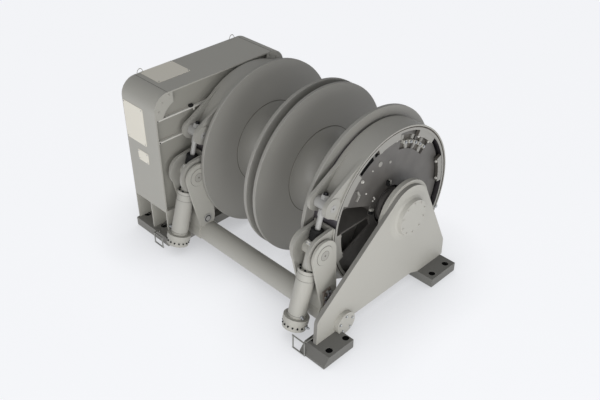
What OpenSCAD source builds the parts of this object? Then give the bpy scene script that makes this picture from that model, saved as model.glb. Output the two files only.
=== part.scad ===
/* [Place] */
// Height of the drum axis above the deck
axis_h = 912; // [905:1:960]
// From the middle of the winch to the gear side end of its base
gear_reach = 1545; // [1500:5:1700]
// From the middle of the winch to the outer edge of the bearing feet
foot_reach = 1360; // [1330:5:1500]
// From the drum axis to the front of the bearing foot
front_reach = 1300; // [1280:5:1400]

/* [Drums] */
// Radius of the rope flanges
flange_r = 900; // [860:5:904]
// Thickness of the rope flanges
flange_t = 36; // [25:1:45]
// Width of one drum over its two flanges
drum_w = 668; // [600:2:690]
// Gap between the two drums
drum_gap = 88; // [60:2:110]
// Outer radius of the drum barrel
barrel_r = 270; // [240:5:300]
// Wall of the drum barrel
barrel_wall = 24; // [16:1:30]
// Radius of the flare from the barrel to the flanges
flare_r = 190; // [120:5:210]
// Radius of the bushed hubs
hub_r = 175; // [150:1:190]
// Length of the bushed hubs
hub_len = 130; // [90:5:160]

/* [Brakes] */
// Radius of the brake rim that the lining grips
rim_r = 782; // [750:1:790]
// Wall of the brake rim
rim_wall = 25; // [16:1:32]
// Reach of the brake rim beyond the outer flange
rim_w = 270; // [240:2:275]
// Width of the brake band
band_w = 240; // [200:2:244]
// Thickness of the brake lining
lining_t = 12; // [8:1:16]
// Thickness of the steel band
band_t = 14; // [10:1:18]
// Gap between the lining and the rim
lining_gap = 0.4; // [0.3:0.1:1]
// Plate thickness of the band's lugs
ear_t = 32; // [24:1:36]
// Clear width between the two lugs of a band end
ear_gap = 144; // [130:2:150]
// Radius of the round end of the upper lugs
upper_ear_r = 98; // [80:1:105]
// Radius of the round end of the lower lugs
lower_ear_r = 178; // [150:1:180]
// Plate thickness of the anchor links
link_t = 24; // [18:1:26]
// Radius of the pin at the lower lugs
main_pin_r = 45; // [35:1:50]
// Radius of the anchor pin
anchor_pin_r = 30; // [22:1:30]

/* [Brake cylinder] */
// Radius of the cylinder barrel
cyl_r = 87; // [75:1:90]
// Length of the cylinder barrel
cyl_len = 495; // [420:5:520]
// Radius of the cylinder's bottom flange
cyl_flange_r = 122; // [110:1:128]
// Radius of the tie rod
rod_r = 25; // [18:1:28]
// Radius of the cross barrel that holds the tie rod
trunnion_r = 52; // [45:1:58]

/* [Shaft and gears] */
// Radius of the main shaft
shaft_r = 95; // [80:1:105]
// Running clearance of the shaft and pins
fit = 0.05; // [0.02:0.01:0.1]
// Tooth size of the bull gear's stage
bull_m = 16; // [14:1:16]
// Teeth of the bull gear
bull_z = 52; // [44:1:52]
// Teeth of the pinion on the idler shaft
idler_z = 15; // [14:1:17]
// Tooth size of the input stage
input_m = 12; // [10:1:12]
// Teeth of the gear on the idler shaft
wheel_z = 40; // [34:1:42]
// Teeth of the input pinion
input_z = 14; // [13:1:16]

/* [Gear housing] */
// Width of the gear housing along the shaft
house_w = 541; // [500:1:600]
// Reach of the gear housing to the front of the drum axis
house_front = 1171; // [1120:1:1190]
// Reach of the gear housing to the rear of the drum axis
house_rear = 508; // [500:1:560]
// Height of the gear housing's top above the deck
house_top = 1732; // [1690:1:1760]
// Radius of the housing's top edges
house_round = 173; // [140:1:190]
// Plate thickness of the gear housing
house_t = 14; // [10:1:20]
// Height of the open bay under the front panel
bay_top = 410; // [340:5:440]
// Depth of that bay
bay_depth = 165; // [120:5:165]

/* [Bearing side] */
// Thickness of the bearing plate
plate_t = 40; // [30:1:50]
// From the middle of the winch to the outer face of the bearing plate
plate_face = 1174; // [1160:1:1190]
// Radius of the bearing plate's top
plate_top_r = 300; // [260:5:320]
// Thickness of the feet
foot_t = 97; // [70:1:100]
// Radius of the bolt holes in the feet
bolt_hole_r = 33; // [20:1:33]
// Radius of the bolt holes in the gear base
base_hole_r = 21.5; // [17:0.5:24]
// Outer radius of the cross tube
tube_r = 109.5; // [95:0.5:112]
// Wall of the cross tube
tube_wall = 12; // [8:1:16]

/* [Hidden] */
$fn = 96;

paint = "#B4B0A6";
dark_paint = "#7E7C76";
steel = "#A8A6AC";
lining_brown = "#3A342E";
black = "#1C1C1C";
bronze = "#9A7B4A";

side_shift = (gear_reach - foot_reach) / 2;
axis_shift = (front_reach - flange_r) / 2;
drum_in = drum_gap / 2;
drum_out = drum_in + drum_w;
edge_bevel = 3;
flare_step = 6;

// Brake band: it closes on the rim and is hinged at the rear
rim_end = drum_out + rim_w;
band_mid = rim_end + 3 - band_w / 2;
lining_r = rim_r + lining_gap;
strap_r = lining_r + lining_t;
band_r = strap_r + band_t;
upper_end = 163;
lining_end = 152;
lower_end = 169;
hinge_a = -27;
hinge_r = band_r + 42;
hinge_split = 1.2;
hinge_lug_r = 42;
hinge_lug_t = 30;
hinge_pin_r = 18;
weld = 3;
trunnion_pin_r = 34;
upper_pin = [-805, 371];
lower_pin = [-931, -41];
anchor_pin = [-866, -571];
tie_len = norm(upper_pin - lower_pin);
tie_tilt = atan2(upper_pin[0] - lower_pin[0], upper_pin[1] - lower_pin[1]);
// Places along the tie, measured from the lower pin
cyl_top = 200;
boot_foot = 85;
boot_len = 105;
boot_r = 56;
neck_r = 56;
eye_r = 66;
rod_foot = 65;
link_top_r = 145;
link_foot_r = 100;
link_disc_r = 93;
boss_t = 8;
disc_t = 4;
ear_in = ear_gap / 2;
ear_out = ear_in + ear_t;
// The links run just outside the band's edges
link_in = max(band_w / 2, ear_out + boss_t) + 1;
link_end = link_in + link_t + disc_t;

// Lugs round the mouth of each brake rim
rim_lug_n = 8;
rim_lug_a = 23;
rim_lug_w = 33;
rim_lug_r = 695;

// Clutch on the shaft inside each brake rim
web_x = rim_end - 70;
web_t = 20;
web_in_r = 215;
web_wall = 18;
web_out_r = 735;
web_window_r = 700;
web_windows = [[40, 80, 560], [157, 203, 270], [277, 323, 270]];
web_ribs = 6;
web_rib_t = 20;
jaw_n = 8;
jaw_x = drum_out + 90;
jaw_h = 40;
jaw_in_r = shaft_r + 12;
jaw_play = 1;
clutch_len = 90;
clutch_gap = 6;
clutch_travel = 40;

// Gear housing and its gears
house_in = gear_reach - 5 - house_w;
house_out = gear_reach - 5;
wall_x = house_in + 40;
wall_t = 30;
base_t = foot_t;
base_in = house_in - 55;
base_notch = [-1000, 992];
base_front = -1200;
base_rear = house_rear + 30;
base_holes_x = [1208, 1507];
base_holes_y = [-1085, 480];
wall_rib_z = [1466, 1229];
idler_a = 160;
idler_d = (bull_z + idler_z) * bull_m / 2;
input_a = 150;
input_d = (wheel_z + input_z) * input_m / 2;
idler_shaft_r = 55;
input_shaft_r = 40;
cup_len = 25;
cup_wall = 30;
bull_x = house_in + 110;
bull_w = 150;
wheel_x = bull_x + bull_w + 30;
wheel_w = 90;
idler_c = pol(idler_d, idler_a);
input_c = idler_c + pol(input_d, input_a);

// Bearing side
plate_knee = [-1184, 345];
plate_heel = [639, 300];
plate_front = -1193;
plate_rear = 643;
plate_waist = 145;
knee_r = 90;
bush_r = 150;
housing_r = 335;
housing_w = 72;
boss_out = 62;
boss_r = 178;
tube_c = [-852, 164 - axis_h];
cap_r = 114;
cap_out = 46;
hoop_r = 7;
front_foot = [-front_reach + 2 * hoop_r, -905];
rear_foot = [244, 618];
nose_y = -1222;
nose_h = 22;
foot_in = 1060;
hole_dx = 196;
hole_dy = 216;
hole_x = 1198;

// Points on a circle, where a line from a point touches one, and where the
// outer line along two circles touches the first, on side s
function pol(r, a) = [r * cos(a), r * sin(a)];
function touch(p, c, r, s) =
  let (d = norm(c - p), a = atan2(c[1] - p[1], c[0] - p[0]), b = asin(r / d))
  p + sqrt(d * d - r * r) * [cos(a + s * b), sin(a + s * b)];

function tangent(c, r, c2, r2, s) =
  let (d = norm(c2 - c), a = atan2(c2[1] - c[1], c2[0] - c[0])) c + pol(r, a + s * acos((r - r2) / d));

module on_axis() { translate([side_shift, axis_shift, axis_h]) children(); }
module on_deck() { translate([side_shift, axis_shift, 0]) children(); }
module handed(s) { if (s < 0) mirror([1, 0, 0]) children(); else children(); }
// Turns a profile of radius and place round the drum axis
module about_axis() { rotate([0, 90, 0]) rotate_extrude($fn = 180) children(); }
// A plate square to the drum axis, from x0 to x0 + t
module plate(x0, t) { translate([x0, 0, 0]) rotate([90, 0, 90]) linear_extrude(t) children(); }
// Round bars and tubes along the drum axis
module bar(x0, x1, r) { translate([x0, 0, 0]) rotate([0, 90, 0]) cylinder(h = x1 - x0, r = r); }
module tube_x(x0, x1, r1, r0) {
  difference() {
    bar(x0, x1, r1);
    bar(x0 - 1, x1 + 1, r0);
  }
}
module at(c) { translate([0, c[0], c[1]]) children(); }

// Drums
module barrel(s) {
  color(paint) on_axis() handed(s)
    tube_x(drum_in + flange_t, drum_out - flange_t, barrel_r, barrel_r - barrel_wall);
}
module flare_ring(x0) {
  translate([x0, 0, 0]) about_axis() difference() {
    translate([barrel_r + 0.1, 0]) square([flare_r - 4, flare_r + flare_step - 4]);
    translate([barrel_r + flare_r, flare_r + flare_step]) circle(r = flare_r);
  }
}
module flares(s) {
  color(paint) on_axis() handed(s) {
    flare_ring(drum_in + flange_t);
    mirror([1, 0, 0]) flare_ring(-(drum_out - flange_t));
  }
}
module flange(s, x0) {
  color(paint) on_axis() handed(s) translate([x0, 0, 0]) about_axis() difference() {
    translate([hub_r + 0.1, 0]) square([flange_r - hub_r - 0.1, flange_t]);
    for (x = [0, flange_t]) translate([flange_r, x]) rotate(45)
      square(2 * edge_bevel, center = true);
  }
}
// Two bushed hubs carry a drum on the shaft, the outer one with clutch jaws
module hubs(s) {
  color(bronze) on_axis() handed(s) {
    tube_x(drum_in + 4, drum_in + 4 + hub_len, hub_r, shaft_r + fit);
    tube_x(drum_out - hub_len, jaw_x, hub_r, shaft_r + fit);
    jaws(jaw_x, 0);
  }
}
// A ring of clutch jaws; the gaps are wider than the teeth
module jaws(x0, turn) {
  step = 360 / jaw_n;
  for (i = [0:jaw_n - 1]) rotate([i * step + turn, 0, 0]) plate(x0, jaw_h) intersection() {
    difference() {
      circle(r = hub_r);
      circle(r = jaw_in_r);
    }
    polygon([[0, 0], 2 * pol(hub_r, jaw_play - step / 4), 2 * pol(hub_r, step / 4 - jaw_play)]);
  }
}
module brake_rim(s) {
  color(dark_paint) on_axis() handed(s) tube_x(drum_out, rim_end, rim_r, rim_r - rim_wall);
}
// Web of the brake rim: a disc with windows, carried by ribs from the hub tube
module rim_web(s) {
  hub_bore = web_in_r - web_wall;
  color(dark_paint) on_axis() handed(s) {
    plate(web_x, web_t) difference() {
      circle(r = web_out_r);
      circle(r = hub_bore);
      for (w = web_windows) sector(web_window_r, w[2], w[0], w[1]);
    }
    tube_x(drum_out, web_x, web_in_r, hub_bore);
    for (i = [0:web_ribs - 1]) rotate([i * 360 / web_ribs, 0, 0])
      translate([drum_out, web_in_r - 2, -web_rib_t / 2])
        cube([web_x + web_t - drum_out, rim_r - rim_wall - 1 - web_in_r + 2, web_rib_t]);
  }
}
// Lugs inside the open end of the rim, with gaps between them
module rim_lugs(s) {
  step = 360 / rim_lug_n;
  color(paint) on_axis() handed(s)
    for (i = [0:rim_lug_n - 1]) plate(rim_end - 3 - rim_lug_w, rim_lug_w)
      sector(rim_r - rim_wall - 0.1, rim_lug_r, 86 + i * step, 86 + i * step + rim_lug_a);
}
// Sliding jaw sleeve on the shaft
module clutch(s) {
  x0 = jaw_x + jaw_h + clutch_gap;
  color(steel) on_axis() handed(s) {
    difference() {
      bar(x0 + jaw_h, x0 + jaw_h + clutch_len, hub_r);
      bar(x0, x0 + 200, shaft_r + fit);
      tube_x(x0 + jaw_h + 40, x0 + jaw_h + 60, hub_r + 1, hub_r - 15);
    }
    jaws(x0, 180 / jaw_n);
  }
}
module main_shaft() {
  color(steel) on_axis() bar(-house_out + house_t + 1, plate_face + boss_out - 12, shaft_r);
}

// Brakes
module sector(r1, r0, a0, a1) {
  intersection() {
    difference() {
      circle(r = r1);
      circle(r = r0);
    }
    polygon(concat([[0, 0]], [for (i = [0:6]) pol(2 * r1, a0 + (a1 - a0) * i / 6)]));
  }
}
module straps(r1, r0, w, a0, a1) { plate(band_mid - w / 2, w) sector(r1, r0, a0, a1); }
module both_sides(x0, t) {
  plate(band_mid + x0, t) children();
  plate(band_mid - x0 - t, t) children();
}
module upper_ear() {
  tangent_a = atan2(upper_pin[1], upper_pin[0]) - acos((band_r - upper_ear_r) / norm(upper_pin));
  difference() {
    union() {
      translate(upper_pin) circle(r = upper_ear_r);
      polygon([pol(band_r - 0.2, tangent_a), upper_pin + pol(upper_ear_r - 0.2, tangent_a),
        upper_pin + pol(upper_ear_r - 0.2, 250), pol(band_r - 0.2, upper_end), pol(rim_r - 80, 140)]);
    }
    circle(r = band_r - weld);
    translate(upper_pin) circle(r = trunnion_pin_r + 0.6);
  }
}
module lower_ear() {
  top = pol(band_r - 1, lower_end + 0.1);
  foot = pol(band_r - 1, 206);
  round_r = lower_ear_r - 0.2;
  difference() {
    union() {
      translate(lower_pin) circle(r = lower_ear_r);
      polygon([top, touch(top, lower_pin, round_r, -1), lower_pin,
        touch(foot, lower_pin, round_r, 1), foot, pol(rim_r - 60, 188)]);
    }
    circle(r = band_r - weld);
    translate(lower_pin) circle(r = main_pin_r + fit);
  }
}
// Two lugs a band half, mirrored about the line through the hinge pin
module hinge_lugs(side, x0) {
  a = hinge_a + side * 9;
  both_sides(x0, hinge_lug_t) difference() {
    union() {
      translate(pol(hinge_r, hinge_a)) circle(r = hinge_lug_r);
      polygon([pol(hinge_r + hinge_lug_r, hinge_a), pol(band_r, a), pol(strap_r, a),
        pol(hinge_r - hinge_lug_r, hinge_a)]);
    }
    circle(r = band_r - weld);
    intersection() {
      circle(r = band_r + 3);
      rotate(hinge_a + side * hinge_split) translate([0, side > 0 ? -2000 : 0]) square(2000);
    }
    translate(pol(hinge_r, hinge_a)) circle(r = hinge_pin_r + fit);
  }
}
module band_upper(s) {
  color(paint) on_axis() handed(s) {
    straps(band_r, strap_r, band_w, hinge_a + hinge_split, upper_end);
    both_sides(ear_in, ear_t) upper_ear();
    both_sides(ear_out, boss_t) translate(upper_pin) difference() {
      circle(r = link_disc_r);
      circle(r = trunnion_pin_r + 0.6);
      translate(-upper_pin) circle(r = band_r);
    }
    hinge_lugs(1, hinge_lug_t + 20);
  }
}
module band_lower(s) {
  color(paint) on_axis() handed(s) {
    straps(band_r, strap_r, band_w, lower_end, 360 + hinge_a - hinge_split);
    both_sides(ear_in, ear_t) lower_ear();
    hinge_lugs(-1, 19);
    at(pol(hinge_r, hinge_a)) bar(band_mid - 2 * hinge_lug_t - 24, band_mid + 2 * hinge_lug_t + 24, hinge_pin_r);
    at(lower_pin) bar(band_mid - link_end - 1, band_mid + link_end + 1, main_pin_r);
  }
}
module lining_upper(s) {
  color(lining_brown) on_axis() handed(s)
    straps(strap_r, lining_r, band_w - 6, hinge_a + 4, lining_end);
}
module lining_lower(s) {
  color(lining_brown) on_axis() handed(s)
    straps(strap_r, lining_r, band_w - 6, lower_end + 2, 356 + hinge_a);
}
module link_outline() {
  d = norm(anchor_pin - lower_pin);
  a = atan2(anchor_pin[1] - lower_pin[1], anchor_pin[0] - lower_pin[0]);
  b = acos((link_top_r - link_foot_r) / d);
  difference() {
    union() {
      translate(lower_pin) circle(r = link_top_r);
      translate(anchor_pin) circle(r = link_foot_r);
      polygon([lower_pin + pol(link_top_r, a - b), anchor_pin + pol(link_foot_r, a - b),
        anchor_pin + pol(link_foot_r, a + b), lower_pin + pol(link_top_r, a + b)]);
    }
    translate(lower_pin) circle(r = main_pin_r + fit);
    translate(anchor_pin) circle(r = anchor_pin_r + fit);
  }
}
// Two links with a raised disc on each face, at the lower pin
module link_disc() {
  translate(lower_pin) difference() {
    circle(r = link_disc_r);
    circle(r = main_pin_r + fit);
  }
}
module links(s) {
  color(paint) on_axis() handed(s) {
    both_sides(link_in, link_t) link_outline();
    both_sides(ear_out + 1, link_in - ear_out - 1) link_disc();
    both_sides(link_in + link_t, disc_t) link_disc();
  }
}
// Block on the cross tube between the links, and the anchor pin
module anchor(s) {
  color(paint) on_axis() handed(s) {
    plate(band_mid - link_in + 2, 2 * link_in - 4) difference() {
      union() {
        translate(anchor_pin) circle(r = 70);
        translate(tube_c) circle(r = tube_r + 12);
        polygon([anchor_pin - [70, 0], anchor_pin + [70, 0], tube_c + [105, 20], tube_c - [105, -20]]);
      }
      translate(anchor_pin) circle(r = anchor_pin_r + fit);
      translate(tube_c) circle(r = tube_r + 0.1);
      translate(tube_c + [-200, -170]) square([400, 110]);
    }
    at(anchor_pin) bar(band_mid - link_end - 1, band_mid + link_end + 1, anchor_pin_r);
  }
}
// The cylinder hangs from the lower pin, its axis on the line to the upper pin
module along_tie() { at(lower_pin) rotate([-tie_tilt, 0, 0]) children(); }
module cylinder_body(s) {
  color(paint) on_axis() handed(s) translate([band_mid, 0, 0]) along_tie() {
    difference() {
      union() {
        rotate([0, 90, 0]) cylinder(h = ear_gap - 4, r = eye_r, center = true);
        translate([0, 0, -cyl_top]) cylinder(h = cyl_top + boot_foot, r = neck_r);
        translate([0, 0, -cyl_top - 30]) cylinder(h = 30, r = cyl_r + 3);
        translate([0, 0, -cyl_top - cyl_len]) cylinder(h = cyl_len, r = cyl_r);
        translate([0, 0, -cyl_top - cyl_len - 40]) cylinder(h = 50, r = cyl_flange_r);
        translate([0, 0, -cyl_top - cyl_len - 110]) cylinder(h = 80, r = cyl_flange_r - 10);
      }
      rotate([0, 90, 0]) cylinder(h = 2 * ear_gap, r = main_pin_r + fit, center = true);
      translate([0, 0, rod_foot - 10]) cylinder(h = 200, r = rod_r + fit);
    }
  }
}
module boot(s) {
  color(black) on_axis() handed(s) translate([band_mid, 0, 0]) along_tie()
    translate([0, 0, boot_foot]) difference() {
      cylinder(h = boot_len, r = boot_r);
      translate([0, 0, -1]) cylinder(h = boot_len + 2, r = rod_r + fit);
    }
}
module tie_rod(s) {
  color(steel) on_axis() handed(s) translate([band_mid, 0, 0]) along_tie() {
    translate([0, 0, rod_foot]) cylinder(h = tie_len - rod_foot + 60, r = rod_r);
    translate([0, 0, tie_len]) rotate([0, 90, 0]) cylinder(h = ear_gap - 4, r = trunnion_r, center = true);
    translate([0, 0, tie_len]) rotate([0, 90, 0])
      cylinder(h = 2 * (ear_out + boss_t) + 4, r = trunnion_pin_r, center = true);
    translate([0, 0, tie_len + 44]) cylinder(h = 42, r = 38, $fn = 6);
    translate([0, 0, tie_len - 115]) cylinder(h = 68, r = 32);
  }
}

// Gears, with involute flanks
function inv(a) = tan(a) * 180 / PI - a;
function flank(r, rb) = let (a = acos(min(1, rb / r))) inv(a);
module gear_outline(z, m) {
  pa = 25;
  rp = z * m / 2;
  rb = rp * cos(pa);
  ra = rp + 0.9 * m;
  rf = rp - 1.25 * m;
  half = 90 / z - 1.2 / rp + inv(pa);
  n = 5;
  r0 = max(rb, rf);
  side = [for (i = [0:n]) let (r = r0 + (ra - r0) * i / n) [r, half - flank(r, rb)]];
  root = [rf, side[0][1]];
  line = concat([root], side);
  polygon([for (k = [0:z - 1], j = [0:2 * n + 3])
    let (p = j < n + 2 ? line[j] : line[2 * n + 3 - j], s = j < n + 2 ? -1 : 1)
    pol(p[0], s * p[1] + k * 360 / z)]);
}
module bull_gear() {
  color(steel) on_axis() mirror([1, 0, 0]) {
    difference() {
      plate(bull_x, bull_w) rotate(idler_a) gear_outline(bull_z, bull_m);
      tube_x(bull_x - 1, bull_x + 50, bull_z * bull_m / 2 - 70, 180);
      tube_x(bull_x + bull_w - 50, bull_x + bull_w + 1, bull_z * bull_m / 2 - 70, 180);
      bar(bull_x - 1, bull_x + bull_w + 1, shaft_r + 0.15);
    }
  }
}
module idler_gears() {
  color(steel) on_axis() mirror([1, 0, 0]) at(idler_c) {
    plate(bull_x - 5, bull_w + 10) rotate(idler_a + 180 + 180 / idler_z) gear_outline(idler_z, bull_m);
    plate(wheel_x, wheel_w) rotate(input_a) gear_outline(wheel_z, input_m);
    bar(wall_x + wall_t + 1, house_out - house_t - 1, idler_shaft_r);
  }
}
module input_pinion() {
  color(steel) on_axis() mirror([1, 0, 0]) at(input_c) {
    plate(wheel_x - 5, wheel_w + 10) rotate(input_a + 180 + 180 / input_z) gear_outline(input_z, input_m);
    bar(wall_x + wall_t + 1, house_out - 1, input_shaft_r);
  }
}
module motor_flange() {
  color(dark_paint) on_axis() mirror([1, 0, 0]) at(input_c) difference() {
    bar(house_out - house_t, house_out + 5, 150);
    bar(house_out - 40, house_out + 6, input_shaft_r + fit);
    for (a = [45:90:315]) at(pol(120, a)) bar(house_out - 40, house_out + 6, 11);
  }
}

// Gear housing
// Bearing cup of a gear shaft, inside a wall
module cup(x0, c, r) { at(c) tube_x(x0, x0 + cup_len, r + cup_wall, r + fit); }
module house_profile(g) {
  translate([-house_front + g, base_t - axis_h])
    square([house_front + house_rear - 2 * g, house_top - base_t - house_round]);
  for (y = [-house_front + house_round, house_rear - house_round])
    translate([y, house_top - axis_h - house_round]) circle(r = house_round - g);
  translate([-house_front + house_round, 0])
    square([house_front + house_rear - 2 * house_round, house_top - axis_h - g]);
}
// The open bay's space under the front panel, grown by g
module bay_space(g) {
  translate([-house_front - 1, base_t - axis_h - 1])
    square([bay_depth + 1 + g, bay_top - base_t + 1 + g]);
}
module gear_shell() {
  color(paint) on_axis() mirror([1, 0, 0]) {
    difference() {
      plate(house_in, house_w) house_profile(0);
      plate(house_in - 1, house_w - house_t + 1) difference() {
        house_profile(house_t);
        bay_space(house_t);
      }
      plate(house_in + house_t, house_w - 2 * house_t) bay_space(0);
      at(input_c) bar(house_out - 50, house_out + 1, 150.1);
    }
    cup(house_out - house_t - cup_len, [0, 0], shaft_r);
    cup(house_out - house_t - cup_len, idler_c, idler_shaft_r);
  }
}
module gear_side_wall() {
  color(paint) on_axis() mirror([1, 0, 0]) {
    plate(wall_x, wall_t) difference() {
      house_profile(house_t + 0.1);
      bay_space(house_t + 0.1);
      circle(r = bush_r + 0.1);
    }
    cup(wall_x + wall_t, idler_c, idler_shaft_r);
    cup(wall_x + wall_t, input_c, input_shaft_r);
  }
}
module wall_ribs() {
  color(paint) on_axis() mirror([1, 0, 0])
    for (z = wall_rib_z) translate([house_in + 8, -house_front + house_t, z - axis_h - 8])
      cube([wall_x - house_in - 8, 900, 16]);
}
// Gusset across a top corner of the side recess, hollowed by an arc
module corner(y, side) {
  intersection() {
    house_profile(house_t + 0.1);
    difference() {
      translate([y - (side > 0 ? 0 : 230), house_top - axis_h - 258]) square([230, 258]);
      translate([y + side * 330, house_top - axis_h - 360]) circle(r = 260);
    }
  }
}
module corner_plates() {
  color(paint) on_axis() mirror([1, 0, 0]) plate(house_in + 2, 12) {
    corner(-house_front, 1);
    corner(house_rear, -1);
  }
}
module bay_web() {
  color(paint) on_axis() mirror([1, 0, 0])
    translate([house_in + house_w / 2 - 8, -house_front, base_t - axis_h])
      cube([16, bay_depth, bay_top - base_t]);
}
// Base under the housing, with a corner left out for the brake cylinder
module gear_base() {
  color(dark_paint) on_deck() mirror([1, 0, 0]) difference() {
    translate([base_in, base_front, 0]) cube([gear_reach - base_in, base_rear - base_front, base_t]);
    translate([base_in - 1, base_front - 1, -1])
      cube([base_notch[1] - base_in + 1, base_notch[0] - base_front + 1, base_t + 2]);
    for (x = base_holes_x, y = base_holes_y) translate([x, y, -1]) cylinder(h = base_t + 2, r = base_hole_r);
  }
}

// Bearing side
function foot_holes(yc) = [for (x = [-1, 1], y = [-1, 1]) [hole_x + x * hole_dx / 2, yc + y * hole_dy / 2]];
module foot(y0, y1, holes) {
  difference() {
    translate([foot_in, y0, 0]) cube([foot_reach - foot_in, y1 - y0, foot_t]);
    for (h = holes) translate([h[0], h[1], -1]) cylinder(h = foot_t + 2, r = bolt_hole_r);
  }
}
// The front foot slopes down at its nose and has no hole under the cross tube
module foot_front() {
  color(dark_paint) on_deck() difference() {
    foot(front_foot[0], front_foot[1], [for (i = [0, 2, 3]) foot_holes(-1048.5)[i]]);
    plate(foot_in - 1, foot_reach - foot_in + 2) polygon([[front_foot[0] - 1, nose_h],
      [front_foot[0], nose_h], [nose_y, foot_t], [nose_y, foot_t + 1], [front_foot[0] - 1, foot_t + 1]]);
    translate([0, tube_c[0], tube_c[1] + axis_h]) bar(foot_in - 1, plate_face + cap_out + 1, cap_r + 0.3);
  }
}
module foot_rear() { color(dark_paint) on_deck() foot(rear_foot[0], rear_foot[1], foot_holes(429.5)); }
// Outline of the bearing plate: a round top, rounded knees and a waist over the tube
module bearing_plate() {
  foot_z = foot_t - axis_h;
  top_r = plate_top_r - 0.2;
  waist_z = plate_waist - axis_h;
  knee = plate_knee + [knee_r, -axis_h - knee_r * 0.35];
  heel = plate_heel + [-knee_r, -axis_h - knee_r * 0.35];
  color(paint) on_axis() plate(plate_face - plate_t, plate_t) difference() {
    union() {
      circle(r = plate_top_r);
      translate(knee) circle(r = knee_r);
      translate(heel) circle(r = knee_r);
      polygon([tangent([0, 0], top_r, knee, knee_r - 0.2, -1), tangent(knee, knee_r - 0.2, [0, 0], top_r, 1),
        knee - [knee_r - 0.2, 0], [plate_front, foot_z], [front_foot[1] - 4, foot_z],
        [tube_c[0] + cap_r + 40, waist_z], [130, waist_z], [rear_foot[0] + 3, foot_z],
        [plate_rear, foot_z], heel + [knee_r - 0.2, 0],
        tangent(heel, knee_r - 0.2, [0, 0], top_r, -1), tangent([0, 0], top_r, heel, knee_r - 0.2, 1)]);
      translate(tube_c) circle(r = cap_r + 12);
    }
    translate([-2000, foot_z - 400]) square([4000, 400]);
    translate(tube_c) circle(r = tube_r + 0.1);
    circle(r = bush_r + 0.1);
  }
}
module bearing_boss() {
  room_r = shaft_r + 20;
  room = boss_out - 10;
  color(paint) on_axis() translate([plate_face, 0, 0]) about_axis()
    polygon([[room_r, 0], [boss_r + 75, 0], [boss_r + 30, 8], [boss_r + 10, 24],
      [boss_r, boss_out], [0, boss_out], [0, room], [room_r, room]]);
}
// Bearing housing on the inner side of the plate
module bearing_housing() {
  x1 = plate_face - plate_t;
  color(dark_paint) on_axis() translate([x1 - housing_w, 0, 0]) about_axis()
    polygon([[bush_r + 0.1, 0], [housing_r - 60, 0], [housing_r, 30], [housing_r, housing_w], [bush_r + 0.1, housing_w]]);
}
module plate_bush() {
  color(bronze) on_axis() tube_x(plate_face - plate_t - housing_w - 8, plate_face, bush_r, shaft_r + fit);
}
module wall_bush() {
  color(bronze) on_axis() mirror([1, 0, 0]) tube_x(wall_x - 10, wall_x + wall_t, bush_r, shaft_r + fit);
}
module cross_tube() {
  color(paint) on_axis() difference() {
    at(tube_c) tube_x(-wall_x, plate_face, tube_r, tube_r - tube_wall);
    translate([-wall_x - 1, tube_c[0] - 200, base_t - axis_h - 200])
      cube([wall_x + 1 - base_in, 400, 200]);
    for (s = [-1, 1]) handed(s) for (x = [-link_in - link_t - 1, link_in - 1])
      at(anchor_pin) bar(band_mid + x, band_mid + x + link_t + 2, link_foot_r + 1);
  }
}
module tube_cap() {
  color(paint) on_axis() at(tube_c) bar(plate_face, plate_face + cap_out, cap_r);
}

// Round bar hoop standing on the deck, held by an arm to the rear
module hoop(x0, x1, y, z1, y_end) {
  for (x = [x0, x1]) translate([x, y, hoop_r]) cylinder(h = z1 - hoop_r, r = hoop_r);
  for (z = [hoop_r, z1]) translate([x0 - hoop_r, y, z]) rotate([0, 90, 0])
    cylinder(h = x1 - x0 + 2 * hoop_r, r = hoop_r);
  translate([x1, y, z1]) rotate([-90, 0, 0]) cylinder(h = y_end - y, r = hoop_r);
}
module hoop_right() {
  x1 = plate_face - plate_t - hoop_r - 0.1;
  color(steel) on_deck() hoop(x1 - 145, x1, -front_reach + hoop_r, 155, -front_reach + 150);
}
module hoop_left() {
  color(steel) on_deck() mirror([1, 0, 0]) {
    hoop(1012, 1144, -1255, 130, base_front + 22);
    translate([1144, base_front + 12, foot_t]) cylinder(h = 130 - foot_t, r = hoop_r);
  }
}

gear_base();
gear_shell();
gear_side_wall();
wall_ribs();
corner_plates();
bay_web();
motor_flange();
input_pinion();
idler_gears();
bull_gear();
main_shaft();
bearing_plate();
bearing_boss();
bearing_housing();
plate_bush();
wall_bush();
foot_front();
foot_rear();
cross_tube();
tube_cap();
hoop_right();
hoop_left();
barrel(1);  // barrel_right
flares(1);  // flares_right
flange(1, drum_in);  // flange_inner_right
flange(1, drum_out - flange_t);  // flange_outer_right
hubs(1);  // hubs_right
brake_rim(1);  // brake_rim_right
rim_web(1);  // rim_web_right
rim_lugs(1);  // rim_lugs_right
barrel(-1);  // barrel_left
flares(-1);  // flares_left
flange(-1, drum_in);  // flange_inner_left
flange(-1, drum_out - flange_t);  // flange_outer_left
hubs(-1);  // hubs_left
brake_rim(-1);  // brake_rim_left
rim_web(-1);  // rim_web_left
rim_lugs(-1);  // rim_lugs_left
clutch(1);  // clutch_right
clutch(-1);  // clutch_left
band_upper(1);  // band_upper_right
lining_upper(1);  // lining_upper_right
band_lower(1);  // band_lower_right
lining_lower(1);  // lining_lower_right
links(1);  // links_right
anchor(1);  // anchor_right
cylinder_body(1);  // cylinder_right
boot(1);  // boot_right
tie_rod(1);  // tie_rod_right
band_upper(-1);  // band_upper_left
lining_upper(-1);  // lining_upper_left
band_lower(-1);  // band_lower_left
lining_lower(-1);  // lining_lower_left
links(-1);  // links_left
anchor(-1);  // anchor_left
cylinder_body(-1);  // cylinder_left
boot(-1);  // boot_left
tie_rod(-1);  // tie_rod_left
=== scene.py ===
# %% [markdown]
# # A double-drum towing winch
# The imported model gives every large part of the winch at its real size. This
# script paints those parts, adds the small things that a winch carries, such
# as bolts, label plates and hydraulic fittings, and lights the whole.

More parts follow.
